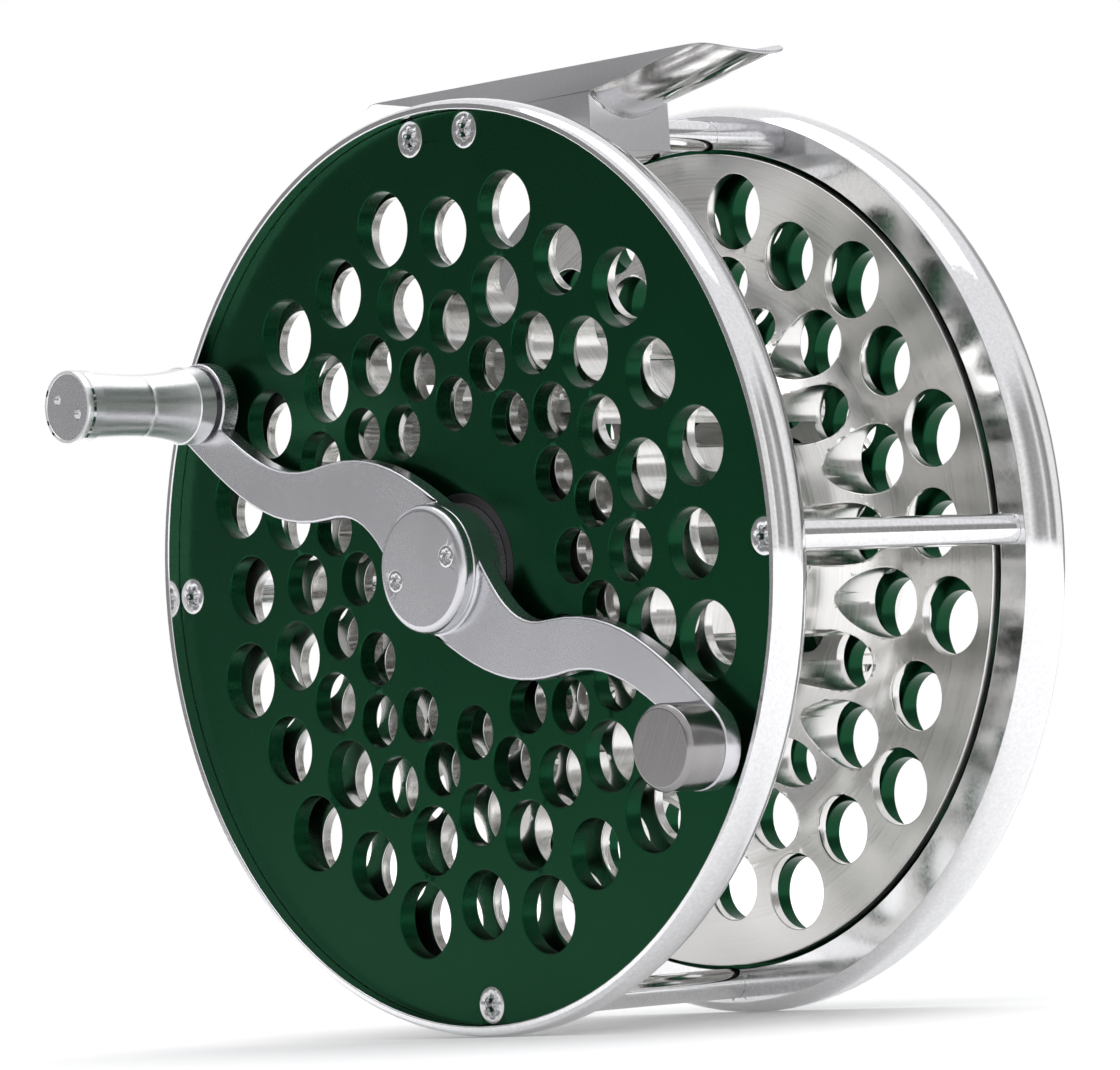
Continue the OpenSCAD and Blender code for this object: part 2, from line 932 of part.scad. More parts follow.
module handle_post() {
    color("silver")
        at_handle()
            difference() {
                union() {
                    disc(post_foot_r, arm_back_z, arm_front_z);
                    disc(post_collar_r, arm_front_z, arm_front_z + post_collar_h);
                    disc(handle_post_r, arm_front_z, handle_z + handle_h - cap_inset - 3);
                }
                disc(1, handle_z + handle_h - cap_inset - 8, handle_z + handle_h);
            }
}

// Shoulder screw that keeps the knob on its post.
module handle_post_screw() {
    top = handle_z + handle_h - cap_inset - 3;
    color("silver")
        at_handle()
            difference() {
                union() {
                    disc(1 - seat_fit, top - 4.5, top + 0.5);
                    disc(2.7, top + 0.1, top + 1.1);
                }
                translate([0, 0, top + 1.1])
                    star_socket(1.1, 0.7);
            }
}

module handle_knob() {
    color("gainsboro")
        at_handle()
            translate([0, 0, handle_z])
                difference() {
                    rotate_extrude()
                        difference() {
                            square([handle_foot_r, handle_h - cap_wall]);
                            translate([handle_waist_r + handle_curve_r, handle_waist_z])
                                circle(r = handle_curve_r, $fn = 360);
                        }
                    // Seats for the two bushes, and the bore between them.
                    disc(bush_r + seat_fit, -1, bush_h);
                    disc(handle_post_r + 0.3, 0, handle_h);
                    disc(bush_r + seat_fit, handle_h - cap_inset - 3.1 - bush_h, handle_h);
                }
}

module handle_bushes() {
    color("goldenrod")
        at_handle()
            translate([0, 0, handle_z]) {
                tube(bush_r, handle_post_r + run_fit, 0, bush_h);
                tube(bush_r, handle_post_r + run_fit,
                    handle_h - cap_inset - 3.1 - bush_h, handle_h - cap_inset - 3.1);
            }
}

// End cap that screws into the knob, with two holes for a pin spanner.
module handle_end_cap() {
    color("gainsboro")
        at_handle()
            translate([0, 0, handle_z + handle_h])
                difference() {
                    union() {
                        chamfered_disc(handle_end_r, -cap_wall, 0, 0.3);
                        disc(bush_r, -cap_inset, -cap_wall + eps);
                    }
                    for (side = [-1, 1])
                        translate([side * 2, 0, -0.8])
                            cylinder(r = 0.6, h = 2, $fn = 24);
                }
}

// ---- Drag -----------------------------------------------------------------------

module at_housing_screws() {
    for (a = [30, 150, 270])
        rotate([0, 0, a])
            translate([12.3, 0, 0])
                children();
}

module drag_housing() {
    color("silver")
        behind_plate()
            difference() {
                union() {
                    disc(housing_r, 0, housing_floor);
                    tube(housing_r, housing_inner_r, housing_floor - eps, housing_top);
                    disc(boss_r, boss_z - face_z, 1);
                    // Ribs that stop the pressure plate from turning.
                    for (a = [0, 120, 240])
                        rotate([0, 0, a])
                            translate([housing_inner_r - rib_h, -rib_w / 2, press_d - 1])
                                cube([rib_h + 0.5, rib_w, press_t + 1.6]);
                }
                disc(seat_lip_r, boss_z - face_z - 1, housing_floor + 1);
                // The bearing goes in from the outer side and stops on the lip.
                disc(bearing_r + seat_fit, bearing_z - face_z, -seal_t);
                disc(seat_lip_r, -seal_t - 1, housing_floor + 1);
                at_housing_screws()
                    translate([0, 0, housing_floor])
                        countersink(1.3, 0.8, housing_floor);
                // Groove for the knob's clip.
                tube(housing_r + 1, housing_r - 0.45, clip_d, clip_d + clip_t + 0.1);
                translate([pawl_pin_x, pawl_pin_y, 0])
                    disc(pawl_pin_r + seat_fit, housing_floor - 1, housing_floor + 1);
            }
}

module housing_screws() {
    color("silver")
        behind_plate()
            at_housing_screws()
                translate([0, 0, housing_floor])
                    countersunk_screw(1.3, 0.78, housing_floor + plate_t - 0.1);
}

module drag_disc_inner() {
    color("dimgray")
        behind_plate()
            tube(pad_r, pad_bore_r + 1, housing_floor, housing_floor + pad_t);
}

// Point at a radius and an angle.
function polar(r, a) = r * [cos(a), sin(a)];

// Rotor with click teeth, driven by the spindle's flat.
module drag_rotor() {
    tooth_step = 360 / click_teeth;
    color("silver")
        behind_plate()
            difference() {
                union() {
                    translate([0, 0, rotor_d])
                        linear_extrude(height = rotor_t)
                            polygon([
                                for (i = [0 : click_teeth - 1])
                                    let (a = 90 + (i + 0.5) * tooth_step)
                                    each [
                                        polar(rotor_r - tooth_h, a - tooth_step / 2),
                                        polar(rotor_r, a - tooth_step / 8),
                                        polar(rotor_r, a + tooth_step / 8)
                                    ]
                            ]);
                    disc(spindle_r + 1.6, rotor_d - 0.7, rotor_d + rotor_t);
                }
                difference() {
                    disc(spindle_r + seat_fit, 0, rotor_d + rotor_t + 1);
                    rotate([0, 0, spool_turn])
                        translate([-spindle_r, 0.8 * spindle_r + seat_fit, 0])
                            cube([2 * spindle_r, spindle_r, 10]);
                }
            }
}

module spindle_nut() {
    color("silver")
        behind_plate()
            difference() {
                translate([0, 0, rotor_d + rotor_t])
                    cylinder(r = nut_w / 2 / cos(30), h = 2, $fn = 6);
                disc(spindle_r + seat_fit, 0, -spindle_back_z - face_z - 2.2);
                disc(spindle_r - 1 + seat_fit, 0, 20);
            }
}

module drag_disc_outer() {
    color("dimgray")
        behind_plate()
            tube(pad_r, pad_bore_r, pad_outer_d, pad_outer_d + pad_t);
}

module pressure_plate() {
    color("silver")
        behind_plate()
            difference() {
                tube(housing_inner_r - 0.2, press_bore_r, press_d, press_d + press_t);
                for (a = [0, 120, 240])
                    rotate([0, 0, a])
                        translate([housing_inner_r - rib_h - 0.3, -rib_w / 2 - 0.2, 0])
                            cube([rib_h + 2, rib_w + 0.4, 20]);
            }
}

// Dished spring washer between the pressure plate and the knob.
module drag_spring() {
    color("silver")
        behind_plate()
            translate([0, 0, press_d + press_t])
                rotate_extrude()
                    polygon([[11.5, 0], [11.5, 0.35], [6.5, spring_h], [6.5, spring_h - 0.35]]);
}

// Open wire ring that keeps the knob on the housing.
module knob_clip() {
    color("silver")
        behind_plate()
            difference() {
                tube(clip_r, housing_r - 0.4, clip_d + 0.05, clip_d + 0.05 + clip_t);
                translate([0, -1.5, 0])
                    cube([clip_r + 1, 3, 20]);
            }
}

module drag_knob() {
    flute_r = 0.75;
    color("gainsboro")
        behind_plate()
            difference() {
                union() {
                    chamfered_disc(knob_r, knob_gap + 1, knob_gap + knob_h, 1.2);
                    disc(knob_r - 0.6, knob_gap, knob_gap + 2);
                }
                disc(housing_r + run_fit, 0, knob_gap + knob_h - knob_floor);
                tube(clip_r + 0.15, housing_r - 1, clip_d - 0.1, clip_d + clip_t + 0.2);
                // Axial flutes in the rim, which stop short of the outer face.
                for (i = [0 : knob_flutes - 1])
                    rotate([0, 0, i * 360 / knob_flutes])
                        translate([knob_r + 0.35, 0, 0])
                            cylinder(r = flute_r, h = knob_gap + knob_h - 2.4, $fn = 16);
                // Dished outer face with a seat for the cap.
                disc(7 + seat_fit, knob_gap + knob_h - 0.8, 20);
                translate([0, 0, knob_gap + knob_h - 0.35])
                    cylinder(r1 = 12.5, r2 = 13.5, h = 1);
            }
}

module drag_knob_cap() {
    color("silver")
        behind_plate()
            chamfered_disc(7, knob_gap + knob_h - 0.8, knob_gap + knob_h + 0.5, 0.5);
}

// Small sprung pawl that rests in a gap between two click teeth.
module click_pawl() {
    color("goldenrod")
        behind_plate()
            translate([0, 0, rotor_d + 0.15])
                difference() {
                    union() {
                        translate([pawl_pin_x, pawl_pin_y, 0])
                            cylinder(r = pawl_end_r, h = pawl_t);
                        linear_extrude(height = pawl_t)
                            polygon([
                                [pawl_pin_x, pawl_pin_y - 0.7],
                                [-0.9, rotor_r + 0.35],
                                [-0.25, rotor_r + 0.2],
                                [-0.06, rotor_r - tooth_h + 0.3],
                                [0.06, rotor_r - tooth_h + 0.3],
                                [0.25, rotor_r + 0.2],
                                [0.6, rotor_r + 0.5],
                                [0.2, rotor_r + 1.3],
                                [pawl_pin_x, pawl_pin_y + pawl_end_r - 0.05]
                            ]);
                    }
                    translate([pawl_pin_x, pawl_pin_y, -1])
                        cylinder(r = pawl_pin_r + run_fit, h = pawl_t + 2);
                }
}

module click_pawl_pin() {
    color("silver")
        behind_plate()
            translate([pawl_pin_x, pawl_pin_y, 0])
                disc(pawl_pin_r, housing_floor - 0.9, rotor_d + rotor_t);
}

// Leaf spring that presses the pawl into the teeth.
module click_spring() {
    color("silver")
        behind_plate()
            translate([0, 0, rotor_d + 0.3])
                linear_extrude(height = 0.8)
                    polygon([[0.1, rotor_r + 1.95], [0.1, rotor_r + 2.15],
                             [spring_x, spring_y], [spring_x, spring_y - 0.2]]);
}

// ---- Drawing --------------------------------------------------------------------

front_ring();
rear_ring();
front_plate();
back_plate();
pillar_top_left();
pillar_top_right();
pillar_left();
pillar_right();
pillar_bottom();
reel_foot();
foot_screws();
front_plate_screws();
back_plate_screws();
front_seal_ring();
front_bearing_housing();
front_bearing_outer_race();
front_bearing_inner_race();
front_bearing_balls();
rear_bearing_outer_race();
rear_bearing_inner_race();
rear_bearing_balls();
spool();
spool_front_flange();
spool_rear_flange();
spool_front_cove();
spool_rear_cove();
spool_hub();
spindle();
spool_key();
spindle_nut();
crank_arm();
hub_cap();
hub_cap_screws();
counterweight();
counterweight_screw();
handle_post();
handle_post_screw();
handle_knob();
handle_bushes();
handle_end_cap();
drag_housing();
housing_screws();
drag_disc_inner();
drag_rotor();
drag_disc_outer();
pressure_plate();
drag_spring();
knob_clip();
drag_knob();
drag_knob_cap();
click_pawl();
click_pawl_pin();
click_spring();
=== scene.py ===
# %% [markdown]
# # A drilled salmon fly reel
#
# The reel's frame, spool, crank and drag are already designed as exact solids, each one in
# its place and at its real size. This lesson gives them the finish that a reel maker gives
# the metal: small broken edges, mirror polish, turned and blasted surfaces, and a dark
# anodised colour on the two plates. Then it sets a floor, lights and a camera.
#
# Every solid keeps its size. Where a piece needs broken edges, a copy of it gets them and
# stands in for the solid. The handle is turned again, with more detail than its solid has.

# %% Load the reel
import json
import math

import bmesh
import bpy
from mathutils import Matrix, Vector

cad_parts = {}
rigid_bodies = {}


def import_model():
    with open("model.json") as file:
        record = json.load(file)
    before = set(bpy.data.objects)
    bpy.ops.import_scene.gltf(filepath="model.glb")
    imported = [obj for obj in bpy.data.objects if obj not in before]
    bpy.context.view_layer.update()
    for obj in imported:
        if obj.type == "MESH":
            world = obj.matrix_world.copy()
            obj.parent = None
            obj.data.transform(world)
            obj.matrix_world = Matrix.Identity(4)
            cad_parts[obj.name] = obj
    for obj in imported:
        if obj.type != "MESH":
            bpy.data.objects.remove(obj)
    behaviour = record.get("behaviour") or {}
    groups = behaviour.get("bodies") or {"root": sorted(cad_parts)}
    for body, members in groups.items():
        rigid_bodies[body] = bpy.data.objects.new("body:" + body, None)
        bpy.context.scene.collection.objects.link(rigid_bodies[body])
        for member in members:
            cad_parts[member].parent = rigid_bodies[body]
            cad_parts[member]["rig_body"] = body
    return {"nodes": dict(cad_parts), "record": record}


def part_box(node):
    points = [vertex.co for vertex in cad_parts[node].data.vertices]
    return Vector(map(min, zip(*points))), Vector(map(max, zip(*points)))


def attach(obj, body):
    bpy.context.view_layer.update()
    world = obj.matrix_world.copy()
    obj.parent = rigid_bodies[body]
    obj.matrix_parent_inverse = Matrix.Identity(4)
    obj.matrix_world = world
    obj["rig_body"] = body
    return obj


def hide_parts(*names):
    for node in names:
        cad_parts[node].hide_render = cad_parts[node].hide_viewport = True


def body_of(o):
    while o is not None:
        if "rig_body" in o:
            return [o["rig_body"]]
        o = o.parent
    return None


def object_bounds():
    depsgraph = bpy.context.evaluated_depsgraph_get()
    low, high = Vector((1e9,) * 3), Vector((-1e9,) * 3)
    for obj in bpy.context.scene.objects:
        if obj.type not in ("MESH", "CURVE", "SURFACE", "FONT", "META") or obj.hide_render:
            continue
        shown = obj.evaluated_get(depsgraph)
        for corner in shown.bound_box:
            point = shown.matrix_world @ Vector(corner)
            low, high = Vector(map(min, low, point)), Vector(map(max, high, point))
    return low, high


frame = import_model()
cad_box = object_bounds()
nodes = frame["nodes"]
MM = 0.001

plate_low, plate_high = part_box("front_plate")
AXIS_X = (plate_low.x + plate_high.x) / 2
AXIS_Z = (plate_low.z + plate_high.z) / 2
print(f"spool axis at x {AXIS_X * 1000:.2f} mm, z {AXIS_Z * 1000:.2f} mm")

# %% [markdown]
# ## Camera
#
# The reel is seen from its crank side, half from the right, through a long lens that keeps
# the two plates nearly the same size. The camera sits low, a little above the floor, and
# leans slightly, so the foot seems to rise to the right.
#
# The camera looks at one point inside the frame. Its place follows from that point, two
# angles and a distance, which is easier to adjust than six separate numbers.

# %% Camera
CAMERA_AIM = Vector((-6.45, 0.0, -49.73)) * MM
CAMERA_AZIMUTH = math.radians(48.24)
CAMERA_ELEVATION = math.radians(-2.33)
CAMERA_ROLL = math.radians(-3.67)
CAMERA_DISTANCE = 0.7333
CAMERA_LENS = 210.3
SENSOR_WIDTH = 36.0


def add_camera():
    flat = math.cos(CAMERA_ELEVATION)
    towards_camera = Vector((
        math.sin(CAMERA_AZIMUTH) * flat,
        -math.cos(CAMERA_AZIMUTH) * flat,
        math.sin(CAMERA_ELEVATION),
    ))
    data = bpy.data.cameras.new("camera")
    data.lens = CAMERA_LENS
    data.sensor_width = SENSOR_WIDTH
    data.clip_start = 0.05
    data.clip_end = 20.0
    camera = bpy.data.objects.new("camera", data)
    bpy.context.scene.collection.objects.link(camera)
    camera.location = CAMERA_AIM + towards_camera * CAMERA_DISTANCE
    turn = (-towards_camera).to_track_quat("-Z", "Y").to_matrix().to_4x4()
    lean = Matrix.Rotation(CAMERA_ROLL, 4, "Z")
    camera.rotation_euler = (turn @ lean).to_euler()
    bpy.context.scene.camera = camera


add_camera()
print(f"camera {CAMERA_DISTANCE * 1000:.0f} mm from its aim, {CAMERA_LENS:.0f} mm lens")

# %% [markdown]
# ## Effects that several finishes share
#
# Metal never has one even shine. Three effects are built once, as shader node groups. Each
# finish chooses how strongly and how finely it uses them:
#
# - `turned lines` draws the fine circles that a lathe leaves round the spool's axis.
# - `fine grain` is the tiny speckle of a blasted or lapped surface.
# - `handling` is a soft, large pattern of wiping that changes the shine.
#
# A group only puts out values. The shader itself stays in each material.

# %% Helpers for shader groups
def new_group(name, inputs, outputs):
    """A shader node group with float inputs (name, default) and float outputs."""
    group = bpy.data.node_groups.new(name, "ShaderNodeTree")
    for label, default in inputs:
        socket = group.interface.new_socket(label, in_out="INPUT", socket_type="NodeSocketFloat")
        socket.default_value = default
    for label in outputs:
        group.interface.new_socket(label, in_out="OUTPUT", socket_type="NodeSocketFloat")
    enter = group.nodes.new("NodeGroupInput")
    leave = group.nodes.new("NodeGroupOutput")
    return group, enter, leave


def math_node(tree, operation, first, second=None):
    """A Math node; an argument is a socket or a number. Returns its output socket."""
    node = tree.nodes.new("ShaderNodeMath")
    node.operation = operation
    for slot, value in enumerate((first, second)):
        if value is None:
            continue
        if isinstance(value, (int, float)):
            node.inputs[slot].default_value = value
        else:
            tree.links.new(value, node.inputs[slot])
    return node.outputs[0]


def noise_node(tree, vector, scale, detail, dimensions="3D"):
    """A Noise Texture read at a vector, or along one number if dimensions is 1D."""
    node = tree.nodes.new("ShaderNodeTexNoise")
    node.noise_dimensions = dimensions
    node.inputs["Detail"].default_value = detail
    if isinstance(scale, (int, float)):
        node.inputs["Scale"].default_value = scale
    else:
        tree.links.new(scale, node.inputs["Scale"])
    target = node.inputs["W"] if dimensions == "1D" else node.inputs["Vector"]
    tree.links.new(vector, target)
    return node.outputs[0]


def ramp_range(tree, value, low, high):
    """Value stretched so that low becomes 0 and high becomes 1, held between them."""
    node = tree.nodes.new("ShaderNodeMapRange")
    node.clamp = True
    tree.links.new(value, node.inputs["Value"])
    node.inputs["From Min"].default_value = low
    node.inputs["From Max"].default_value = high
    return node.outputs["Result"]


# %% Turned lines round the spool's axis
LINES_PER_METRE = 2600.0
COARSE_LINES_PER_METRE = 600.0
FINE_SHARE = 0.65


def from_the_axis(tree):
    """Object coordinates measured from the spool's axis: sockets for across, depth and up."""
    coordinates = tree.nodes.new("ShaderNodeTexCoord").outputs["Object"]
    split = tree.nodes.new("ShaderNodeSeparateXYZ")
    tree.links.new(coordinates, split.inputs[0])
    across = math_node(tree, "SUBTRACT", split.outputs["X"], AXIS_X)
    up = math_node(tree, "SUBTRACT", split.outputs["Z"], AXIS_Z)
    return across, split.outputs["Y"], up


def make_turned_lines():
    tree, enter, leave = new_group("turned lines", [("Lines per metre", LINES_PER_METRE)], ["Lines"])
    across, depth, up = from_the_axis(tree)
    across_squared = math_node(tree, "MULTIPLY", across, across)
    up_squared = math_node(tree, "MULTIPLY", up, up)
    radius = math_node(tree, "SQRT", math_node(tree, "ADD", across_squared, up_squared))
    # Radius and depth together, so lines also show on surfaces that run along the axis.
    along = math_node(tree, "ADD", radius, depth)
    fine = noise_node(tree, along, enter.outputs[0], 3.0, "1D")
    coarse = noise_node(tree, along, COARSE_LINES_PER_METRE, 2.0, "1D")
    mixed = math_node(tree, "ADD", math_node(tree, "MULTIPLY", fine, FINE_SHARE),
                      math_node(tree, "MULTIPLY", coarse, 1.0 - FINE_SHARE))
    tree.links.new(ramp_range(tree, mixed, 0.3, 0.7), leave.inputs["Lines"])
    return tree


TURNED_LINES = make_turned_lines()
print("group", TURNED_LINES.name)

# %% Fine grain
GRAIN_PER_METRE = 5000.0


def make_fine_grain():
    tree, enter, leave = new_group("fine grain", [("Grain per metre", GRAIN_PER_METRE)], ["Grain"])
    coordinates = tree.nodes.new("ShaderNodeTexCoord").outputs["Object"]
    speckle = noise_node(tree, coordinates, enter.outputs[0], 3.0)
    tree.links.new(ramp_range(tree, speckle, 0.3, 0.7), leave.inputs["Grain"])
    return tree


FINE_GRAIN = make_fine_grain()
print("group", FINE_GRAIN.name)

# %% Handling marks
MARKS_PER_METRE = 60.0


def make_handling():
    tree, enter, leave = new_group("handling", [("Marks per metre", MARKS_PER_METRE)], ["Marks"])
    coordinates = tree.nodes.new("ShaderNodeTexCoord").outputs["Object"]
    smears = noise_node(tree, coordinates, enter.outputs[0], 4.0)
    tree.links.new(ramp_range(tree, smears, 0.35, 0.65), leave.inputs["Marks"])
    return tree


HANDLING = make_handling()
print("group", HANDLING.name)

# %% [markdown]
# ## Finishes
#
# The finishes differ in colour, shine and surface, but nearly all of them are metal. So one
# function makes them: it takes the base colour, the lowest and highest roughness, and how
# strong each shared effect is. A finish then reads like a line on a maker's sheet. The seal
# and the friction pads use the same function with no metal in it.
#
# A turned surface stretches a reflection across its grooves. The direction of that stretch
# follows the spool's axis on most pieces, and the handle's own axis on the handle.

# %% Helpers for the finishes
GROOVE_LEAN = 15 * MM
DARKER = 0.88
COAT_ROUGHNESS = 0.12


def place_group(tree, group, value):
    """One of the shared effects in a material, with its one input set to value."""
    node = tree.nodes.new("ShaderNodeGroup")
    node.node_tree = group
    node.inputs[0].default_value = value
    return node.outputs[0]


def lathe_direction(tree):
    """Across the lathe's grooves: outward on a flat face, along the axis on a round one."""
    across, _, up = from_the_axis(tree)
    join = tree.nodes.new("ShaderNodeCombineXYZ")
    tree.links.new(across, join.inputs["X"])
    join.inputs["Y"].default_value = GROOVE_LEAN
    tree.links.new(up, join.inputs["Z"])
    return join.outputs[0]


def handle_direction(tree):
    """Across the grooves of the handle, which are circles round an axis along Y."""
    join = tree.nodes.new("ShaderNodeCombineXYZ")
    join.inputs["Y"].default_value = 1.0
    return join.outputs[0]


# %% The finish maker
def metal(name, color, rough, lines=0.0, line_scale=LINES_PER_METRE, grain=0.0,
          grain_scale=GRAIN_PER_METRE, metallic=1.0, coat=0.0, stretch=0.0,
          direction=lathe_direction):
    """A finish: rough is (smoothest, roughest); lines and grain are bump heights in mm.

    Stretch, from 0 to 1, is how far reflections spread in the given direction.
    """
    material = bpy.data.materials.new(name)
    material.use_nodes = True
    tree = material.node_tree
    shader = tree.nodes["Principled BSDF"]
    shader.inputs["Metallic"].default_value = metallic
    shader.inputs["Coat Weight"].default_value = coat
    shader.inputs["Coat Roughness"].default_value = COAT_ROUGHNESS
    shader.inputs["Anisotropic"].default_value = stretch
    if stretch:
        tree.links.new(direction(tree), shader.inputs["Tangent"])
    marks = place_group(tree, HANDLING, MARKS_PER_METRE)
    turned = place_group(tree, TURNED_LINES, line_scale)
    speckle = place_group(tree, FINE_GRAIN, grain_scale)

    # Colour: the same metal, a little darker between the lines or grains.
    mix = tree.nodes.new("ShaderNodeMix")
    mix.data_type = "RGBA"
    mix.inputs["A"].default_value = (*[part * DARKER for part in color], 1.0)
    mix.inputs["B"].default_value = (*color, 1.0)
    pattern = turned if lines > grain else speckle
    tree.links.new(pattern, mix.inputs["Factor"])
    tree.links.new(mix.outputs["Result"], shader.inputs["Base Color"])

    # Roughness: between the two limits, half by the pattern and half by the marks.
    low, high = rough
    blend = math_node(tree, "ADD", math_node(tree, "MULTIPLY", pattern, 0.5),
                      math_node(tree, "MULTIPLY", marks, 0.5))
    shine = math_node(tree, "ADD", math_node(tree, "MULTIPLY", blend, high - low), low)
    tree.links.new(shine, shader.inputs["Roughness"])

    # Bump: the lines and the grain as real heights.
    height = math_node(tree, "ADD", math_node(tree, "MULTIPLY", turned, lines * MM),
                       math_node(tree, "MULTIPLY", speckle, grain * MM))
    bump = tree.nodes.new("ShaderNodeBump")
    bump.inputs["Distance"].default_value = 1.0
    bump.inputs["Strength"].default_value = 1.0
    tree.links.new(height, bump.inputs["Height"])
    tree.links.new(bump.outputs["Normal"], shader.inputs["Normal"])
    return material


# %% The reel's finishes
FINISHES = {
    "polished_aluminium": metal("polished aluminium", (0.88, 0.88, 0.89), (0.06, 0.13),
                                grain=0.00005, grain_scale=2500.0),
    "green_anodised": metal("green anodising", (0.002, 0.056, 0.020), (0.24, 0.32), grain=0.0006,
                            grain_scale=9000.0, metallic=0.95, coat=0.06),
    "satin_aluminium": metal("blasted aluminium", (0.62, 0.62, 0.64), (0.34, 0.44), grain=0.002,
                             grain_scale=7000.0),
    "brushed_aluminium": metal("turned aluminium", (0.84, 0.83, 0.81), (0.16, 0.26), lines=0.0004,
                               stretch=0.75),
    "handle_aluminium": metal("turned and polished aluminium", (0.90, 0.90, 0.91), (0.26, 0.36),
                              stretch=0.8, direction=handle_direction),
    "crank_aluminium": metal("lapped aluminium", (0.70, 0.70, 0.73), (0.22, 0.3), grain=0.0008,
                             grain_scale=9000.0),
    "brushed_steel": metal("turned steel", (0.36, 0.35, 0.35), (0.16, 0.26), lines=0.0004,
                           line_scale=5000.0),
    "bearing_steel": metal("ground steel", (0.66, 0.66, 0.67), (0.12, 0.25), lines=0.0003),
    "stainless_screw": metal("bright stainless", (0.78, 0.78, 0.79), (0.14, 0.24), grain=0.0006,
                             grain_scale=9000.0),
    "bronze": metal("bearing bronze", (0.66, 0.42, 0.18), (0.25, 0.4), lines=0.0005),
    "black_seal": metal("black nitrile", (0.012, 0.012, 0.013), (0.35, 0.5), grain=0.002,
                        metallic=0.0),
    "carbon_pad": metal("carbon pad", (0.03, 0.03, 0.033), (0.4, 0.6), grain=0.01,
                        grain_scale=2500.0, metallic=0.0),
}
print(len(FINISHES), "finishes")

# %% [markdown]
# ## Broken edges
#
# No machined edge is perfectly sharp: the maker breaks it with a file or a polishing wheel,
# and that narrow bevel is what catches the light.
#
# A copy of a solid is merged into one skin, and the triangles of each flat face are joined.
# Joined faces with holes in them can't be bevelled well, so they are cut again into pieces
# without inward corners. Every corner sharper than 30 degrees then gets a narrow bevel. The
# faces are shaded smooth with weighted normals, so a flat face stays flat up to its bevel.
#
# The spool is one turned piece that the design holds as six solids. Where two of them meet
# no edge is broken, so the spool looks whole.

# %% Helpers that break edges
SHARP = math.radians(30)
FLAT = math.radians(0.5)
WELD = 0.002 * MM
BEVEL_STEPS = 2
FLAT_FACE_CORNERS = 12

COVE_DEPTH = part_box("spool")[1].y
LINE_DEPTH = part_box("spool_hub")[1].y
FLANGE_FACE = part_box("spool_rear_flange")[1].y
COVE_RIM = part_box("spool_rear_cove")[1].x - AXIS_X + 0.1 * MM


def on_a_seam(place):
    """Whether a point lies where two nodes of the one-piece spool meet."""
    depth = abs(place.y)
    radius = math.hypot(place.x - AXIS_X, place.z - AXIS_Z)
    at_bars = abs(depth - COVE_DEPTH) < 0.01 * MM
    at_flange = LINE_DEPTH - 0.01 * MM < depth < FLANGE_FACE - 0.1 * MM and radius < COVE_RIM
    return at_bars or at_flange


def edge_needs_bevel(edge, seams):
    """Whether an edge is a sharp corner and, on a piece with seams, isn't one of them."""
    if len(edge.link_faces) != 2 or edge.calc_face_angle(0.0) < SHARP:
        return False
    start, end = (vertex.co for vertex in edge.verts)
    crosses_a_seam = abs(start.y - end.y) > 1 * MM
    return not seams or crosses_a_seam or not (on_a_seam(start) and on_a_seam(end))


def finished_copy(name, width, finish, seams=False):
    """A copy that replaces a solid, with edges bevelled by width in mm, or crisp at 0."""
    source = nodes[name]
    bm = bmesh.new()
    bm.from_mesh(source.data)
    bmesh.ops.remove_doubles(bm, verts=bm.verts, dist=WELD)
    bmesh.ops.dissolve_limit(bm, angle_limit=FLAT, verts=bm.verts, edges=bm.edges)
    flat = bm.faces.layers.int.new("flat")
    for face in bm.faces:
        face[flat] = int(len(face.verts) > FLAT_FACE_CORNERS)
    bmesh.ops.connect_verts_concave(bm, faces=bm.faces)
    weight = bm.edges.layers.float.new("bevel_weight_edge")
    for edge in bm.edges:
        ends_a_flat = len({face[flat] for face in edge.link_faces}) == 2
        if width and edge_needs_bevel(edge, seams):
            edge[weight] = 1.0
        elif edge.calc_face_angle(0.0) > SHARP or ends_a_flat:
            edge.smooth = False
    mesh = bpy.data.meshes.new(name + "_finished")
    for face in bm.faces:
        face.smooth = True
    bm.to_mesh(mesh)
    bm.free()
    piece = bpy.data.objects.new(name + "_finished", mesh)
    bpy.context.scene.collection.objects.link(piece)
    mesh.materials.append(FINISHES[finish])
    if width:
        bevel = piece.modifiers.new("broken edges", "BEVEL")
        bevel.width = width * MM
        bevel.segments = BEVEL_STEPS
        bevel.limit_method = "WEIGHT"
        bevel.profile = 0.5
        bevel.use_clamp_overlap = False
        bevel.face_strength_mode = "FSTR_AFFECTED"
        weights = piece.modifiers.new("flat faces", "WEIGHTED_NORMAL")
        weights.mode = "FACE_AREA_WITH_ANGLE"
        weights.use_face_influence = True
        weights.keep_sharp = True
    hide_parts(name)
    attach(piece, body_of(source)[0])
    return piece


# %% [markdown]
# ## Which pieces get what
#
# The record of the design says which finish each piece has. Visible pieces get broken
# edges of a width that suits them, in millimetres. Hidden ones keep their solids and only
# get their finish.

# %% Finish every piece
EDGE_WIDTHS = {
    "front_ring": 0.06, "rear_ring": 0.06, "front_plate": 0.14, "back_plate": 0.14,
    "pillar_top_left": 0.1, "pillar_top_right": 0.1, "pillar_left": 0.1, "pillar_right": 0.1,
    "pillar_bottom": 0.1, "reel_foot": 0.08, "foot_screws": 0.05,
    "front_plate_screws": 0.07, "back_plate_screws": 0.07, "front_seal_ring": 0.05,
    "spool": 0.1, "spool_front_flange": 0.12, "spool_rear_flange": 0.12,
    "spool_front_cove": 0.1, "spool_rear_cove": 0.1, "spool_hub": 0.1,
    "crank_arm": 0.3, "hub_cap": 0.05, "hub_cap_screws": 0.03, "counterweight": 0.1,
    "drag_knob": 0.15, "drag_knob_cap": 0.1,
}
SEAMED = ("spool", "spool_front_flange", "spool_rear_flange", "spool_front_cove", "spool_rear_cove")
slot_of = {row["node"]: row["material_slot"] for row in frame["record"]["subparts"]}

